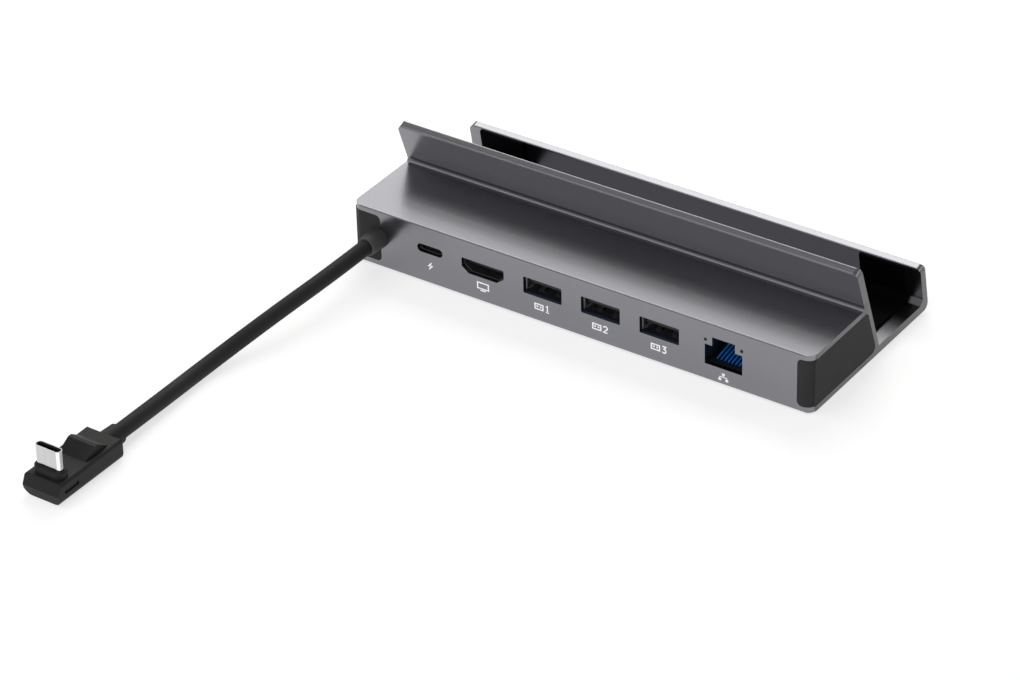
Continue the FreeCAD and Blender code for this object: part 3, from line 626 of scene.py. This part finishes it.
ROUTE = (
    (-0.0658, -0.03703, 0.009825),
    (-0.0658, -0.054, 0.009825),
    (-0.0692, -0.076, 0.0073),
    (-0.0748, -0.0995, 0.0019),
    (-0.073515, -0.12073, 0.0032),
    (-0.0737, -0.13843, 0.0032),
)
CABLE_DIAMETER = 0.0046
BOOT_SHADE_FADE = 0.0065

jacket = Finish("matte_black_jacket")
where = jacket.spot()
bloom = jacket.noise(where, 90, 4)
skin = jacket.noise(where, 3000, 3)
jacket.surface({
    "Base Color": jacket.blend(bloom, (0.012, 0.012, 0.012, 1), (0.019, 0.019, 0.019, 1)),
    "Specular IOR Level": 0.22,
    "Roughness": 0.55 + 0.15 * skin,
    "Normal": jacket.bump(skin, 0.00003, 0.5),
})
wear(jacket, "cable_lead")

boot_skin = Finish("soft_boot_rubber")
where = boot_skin.spot()
bloom = boot_skin.noise(where, 160, 4)
# Painted shade: the boot's grey darkens towards its root at the port face.
root_shade_share = (boot_skin.part(where, "Y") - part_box("cable_boot")[0][1]) * (1 / BOOT_SHADE_FADE)
collar_grey = boot_skin.blend(bloom, (0.06, 0.06, 0.06, 1), (0.074, 0.074, 0.074, 1))
boot_skin.surface({
    "Base Color": boot_skin.blend(root_shade_share, collar_grey, (0.028, 0.028, 0.029, 1)),
    "Specular IOR Level": 0.35,
    "Roughness": 0.5 + 0.15 * bloom,
    "Normal": boot_skin.bump(boot_skin.noise(where, 3000, 3), 0.00003, 0.5),
})
wear(boot_skin, "cable_boot")

line = bpy.data.curves.new("cable_jacket", "CURVE")
line.dimensions = "3D"
line.bevel_depth = CABLE_DIAMETER / 2
line.bevel_resolution = 8
line.resolution_u = 24
spline = line.splines.new("NURBS")
spline.points.add(len(ROUTE) - 1)
for point, spot in zip(spline.points, ROUTE):
    point.co = (*spot, 1.0)
spline.order_u = 3
spline.use_endpoint_u = True
line.materials.append(jacket.material)
cable = bpy.data.objects.new("cable_jacket", line)
bpy.context.scene.collection.objects.link(cable)
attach(cable, "root")
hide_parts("cable")

# Plug: a matte black moulding over the cable's end, with a ridge for a finger. Its tip is a
# drawn steel shell, bright plated, round a black liner with the contacts. The shell's colour is
# painted: a white band on faces turned partly to +X is a painted highlight, and faces turned
# fully to +X or turned up are painted darker, painted shade.

moulding = Finish("matte_plug_moulding")
where = moulding.spot()
spark = moulding.noise(where, 3000, 4)
shade = moulding.noise(where, 140)
moulding.surface({
    "Base Color": moulding.blend(shade, (0.01, 0.01, 0.01, 1), (0.016, 0.016, 0.016, 1)),
    "Specular IOR Level": 0.22,
    "Roughness": 0.5 + 0.15 * spark,
    "Normal": moulding.bump(spark, 0.00003, 0.6),
})
wear(moulding, "plug_body")

bright = Finish("bright_plated_tip")
where = bright.spot()
polish = bright.add("ShaderNodeMapping", {}, {"Vector": where, "Scale": (2400, 2400, 120)})
marks = bright.noise(polish, 1.0, 3)
# Painted highlight on faces turned partly to +X; painted shade on faces turned fully to +X and on faces
# turned up.
side = bright.facing("X")
painted_highlight_band = (side > 0.25) * (side < 0.8)
painted_shade_side = side > 0.9
painted_shade_top = bright.facing("Z") > 0.8
flat_tone = bright.blend(marks, (0.52, 0.52, 0.53, 1), (0.64, 0.64, 0.65, 1))
highlight_tone = bright.blend(painted_highlight_band, flat_tone, (1, 1, 1, 1))
side_shade_tone = bright.blend(painted_shade_side, highlight_tone, (0.36, 0.36, 0.37, 1))
bright.surface({
    "Base Color": bright.blend(painted_shade_top, side_shade_tone, (0.2, 0.2, 0.205, 1)),
    "Metallic": 1.0,
    "Roughness": 0.13 + 0.1 * marks,
})
wear(bright, "plug_shell")

liner_black = Finish("black_tip_liner")
where = liner_black.spot()
matt = liner_black.noise(where, 2200, 3)
liner_black.surface({
    "Base Color": liner_black.blend(matt, (0.003, 0.003, 0.003, 1), (0.008, 0.008, 0.008, 1)),
    "Specular IOR Level": 0.15,
    "Roughness": 0.6 + 0.2 * matt,
})
wear(liner_black, "plug_liner")

# Port marks: small white signs printed on the port face below the sockets: a bolt for power, a
# screen for video, a plug with a number for each data socket and a small tree for the network.

MM = 0.001
INK_WIDTH = 0.0004
THIN_INK = 0.00025
INK_PROUD = 0.000015
port_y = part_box("housing")[0][1]


def ink_line(shape, place, points, width=INK_WIDTH, closed=False):
    """A printed line of one width through points (right, up) in millimetres, mitred at its corners."""
    spots = [Vector(point) * MM for point in points]
    count = len(spots)
    sides = []
    for i, spot in enumerate(spots):
        before = spots[i - 1] if closed or i else spot * 2 - spots[1]
        after = spots[(i + 1) % count] if closed or i < count - 1 else spot * 2 - spots[i - 1]
        first = (spot - before).normalized()
        second = (after - spot).normalized()
        tangent = (first + second).normalized()
        normal = Vector((-tangent.y, tangent.x))
        reach = width / 2 / max(0.5, tangent.dot(second))
        sides.append((spot + normal * reach, spot - normal * reach))
    if closed:
        sides.append(sides[0])
    for (a_left, a_right), (b_left, b_right) in zip(sides, sides[1:]):
        ink_patch(shape, place, [a_left, b_left, b_right, a_right])


def ink_patch(shape, place, corners):
    """A printed patch with these corners, a hair proud of the port face."""
    rings = []
    for y in (port_y + INK_PROUD, port_y - INK_PROUD):
        rings.append([Vector((place[0] + c[0], y, place[1] + c[1])) for c in corners])
    loft(shape, rings)


white_ink = Finish("white_pad_print")
where = white_ink.spot()
pigment = white_ink.noise(where, 3500, 3)
white_ink.surface({
    "Base Color": white_ink.blend(pigment, (0.88, 0.88, 0.88, 1), (0.96, 0.96, 0.96, 1)),
    "Roughness": 0.45 + 0.15 * pigment,
})


def marked(name, place, draw):
    """Prints one sign, by its middle (x, z) on the port face and the function that draws it."""
    shape = bmesh.new()
    draw(shape, place)
    bmesh.ops.recalc_face_normals(shape, faces=shape.faces)
    piece(name, shape, white_ink)


def bolt(shape, place):
    """A bolt of lightning, as two halves that overlap."""
    upper = [(0.5, 1.4), (-0.95, -0.2), (0.0, -0.2), (0.2, 0.2)]
    lower = [(-0.5, -1.4), (0.95, 0.2), (0.0, 0.2), (-0.2, -0.2)]
    for half in (upper, lower):
        ink_patch(shape, place, [(u * MM, v * MM) for u, v in half])


def screen(shape, place):
    """A screen on a stand."""
    ink_line(shape, place, [(-1.8, 1.1), (1.8, 1.1), (1.8, -0.75), (-1.8, -0.75)], closed=True)
    ink_line(shape, place, [(-0.9, -1.3), (0.9, -1.3)])


def square(shape, place, u, v, half_width, half_height):
    """A filled rectangle, by its middle and half its sides in millimetres."""
    corners = []
    for right, up in ((-1, -1), (1, -1), (1, 1), (-1, 1)):
        corners.append(((u + right * half_width) * MM, (v + up * half_height) * MM))
    ink_patch(shape, place, corners)


def plug_sign(shape, place):
    """A flat plug's end, drawn left of the middle: a box with two square holes."""
    ink_line(shape, place, [(-2.5, 0.8), (0.1, 0.8), (0.1, -0.8), (-2.5, -0.8)], closed=True)
    for u in (-1.75, -0.65):
        square(shape, place, u, 0.05, 0.28, 0.25)


def arc(u, v, wide, tall, start, stop):
    """Points of an arc, by its middle, its two radii and its angles in degrees, clockwise."""
    angles = [math.radians(a) for a in range(start, stop, -20)]
    return [(u + wide * math.cos(a), v + tall * math.sin(a)) for a in angles]


def one(shape, place):
    """The plug and a 1."""
    plug_sign(shape, place)
    ink_line(shape, place, [(1.1, 0.6), (1.55, 1.0), (1.55, -1.0)])
    ink_line(shape, place, [(1.05, -1.0), (2.05, -1.0)])


def two(shape, place):
    """The plug and a 2."""
    plug_sign(shape, place)
    ink_line(shape, place, arc(1.6, 0.45, 0.6, 0.55, 170, -40) + [(0.95, -1.0), (2.25, -1.0)])


def three(shape, place):
    """The plug and a 3 with a flat top."""
    plug_sign(shape, place)
    ink_line(shape, place, [(0.95, 1.0), (2.1, 1.0), (1.5, 0.25)] + arc(1.5, -0.4, 0.62, 0.62, 70, -160))


def tree(shape, place):
    """Three boxes joined by lines."""
    for u, v in ((0.0, 0.8), (-1.1, -0.85), (1.1, -0.85)):
        square(shape, place, u, v, 0.45, 0.35)
    ink_line(shape, place, [(-1.1, -0.5), (-1.1, -0.05), (1.1, -0.05), (1.1, -0.5)], THIN_INK)
    ink_line(shape, place, [(0.0, 0.45), (0.0, -0.05)], THIN_INK)


marked("power_mark", (-0.0482, 0.0063), bolt)
marked("video_mark", (-0.0306, 0.0054), screen)
marked("data_mark_1", (-0.0109, 0.0052), one)
marked("data_mark_2", (0.0079, 0.0052), two)
marked("data_mark_3", (0.0267, 0.0052), three)
marked("network_mark", (0.0469, 0.003), tree)

# Studio: a pale floor that glows a little, an even white dome, six soft strips of light along the
# dock's length and a camera at the photograph's angle.

LIGHT_DISTANCE = 1.4
FLOOR_HALF = 6.0

paper = Finish("pale_floor_paper")
where = paper.spot()
fibre = paper.noise(where, 120, 3)
paper.surface({
    "Base Color": paper.blend(fibre, (0.5, 0.5, 0.5, 1), (0.53, 0.53, 0.53, 1)),
    "Roughness": 0.9,
    "Specular IOR Level": 0.0,
    "Emission Color": (1, 1, 1, 1),
    "Emission Strength": 0.64,
})
mesh = bpy.data.meshes.new("floor")
sheet = bmesh.new()
bmesh.ops.create_grid(sheet, x_segments=4, y_segments=4, size=FLOOR_HALF)
sheet.to_mesh(mesh)
sheet.free()
floor = bpy.data.objects.new("floor", mesh)
floor.data.materials.append(paper.material)
bpy.context.scene.collection.objects.link(floor)

world = bpy.data.worlds.new("studio_dome")
world.use_nodes = True
world.node_tree.nodes["Background"].inputs["Color"].default_value = (1, 1, 1, 1)
world.node_tree.nodes["Background"].inputs["Strength"].default_value = 0.28
bpy.context.scene.world = world


def softbox(name, climb, spread, middle, length, radiance):
    """A soft strip light along x, by its climb from +Y and its spread in degrees as the dock sees it."""
    height = 2 * LIGHT_DISTANCE * math.tan(math.radians(spread / 2))
    lamp = bpy.data.lights.new(name, "AREA")
    lamp.shape = "RECTANGLE"
    lamp.size = length
    lamp.size_y = height
    lamp.energy = math.pi * length * height * radiance
    lamp_object = bpy.data.objects.new(name, lamp)
    angle = math.radians(climb)
    lamp_object.location = (middle, LIGHT_DISTANCE * math.cos(angle), LIGHT_DISTANCE * math.sin(angle))
    lamp_object.rotation_euler = (angle - math.pi / 2, 0, 0)
    bpy.context.scene.collection.objects.link(lamp_object)
    return lamp


WARM = (1.0, 1.0, 0.965)
softbox("lip_light", 55.0, 17.0, -0.72, 1.3, 3.8).color = WARM
softbox("back_light", 38.0, 17.0, -0.75, 1.3, 1.28)
softbox("low_back_light", 22.5, 13.0, -0.75, 1.3, 4.2).color = WARM
softbox("front_light", 111.5, 31.0, -0.7, 1.6, 1.32)
softbox("front_fill", 163.0, 20.0, 0.15, 0.6, 6.5)
softbox("right_light", 48.0, 40.0, 1.7, 1.6, 0.9)

EYE = Vector((0.542141, -0.840877, 0.635628))
AZIMUTH = math.radians(34.8637)
ELEVATION = math.radians(33.1513)
ROLL = math.radians(-1.5398)
level = math.cos(ELEVATION)
back = Vector((math.sin(AZIMUTH) * level, -math.cos(AZIMUTH) * level, math.sin(ELEVATION)))
lens = bpy.data.cameras.new("photo_camera")
lens.sensor_width = 36.0
lens.lens = 150.8705
camera = bpy.data.objects.new("photo_camera", lens)
turn = (-back).to_track_quat("-Z", "Y").to_matrix().to_4x4()
camera.matrix_world = Matrix.Translation(EYE) @ turn @ Matrix.Rotation(ROLL, 4, "Z")
bpy.context.scene.collection.objects.link(camera)
bpy.context.scene.camera = camera
bpy.context.scene.view_settings.view_transform = "Standard"
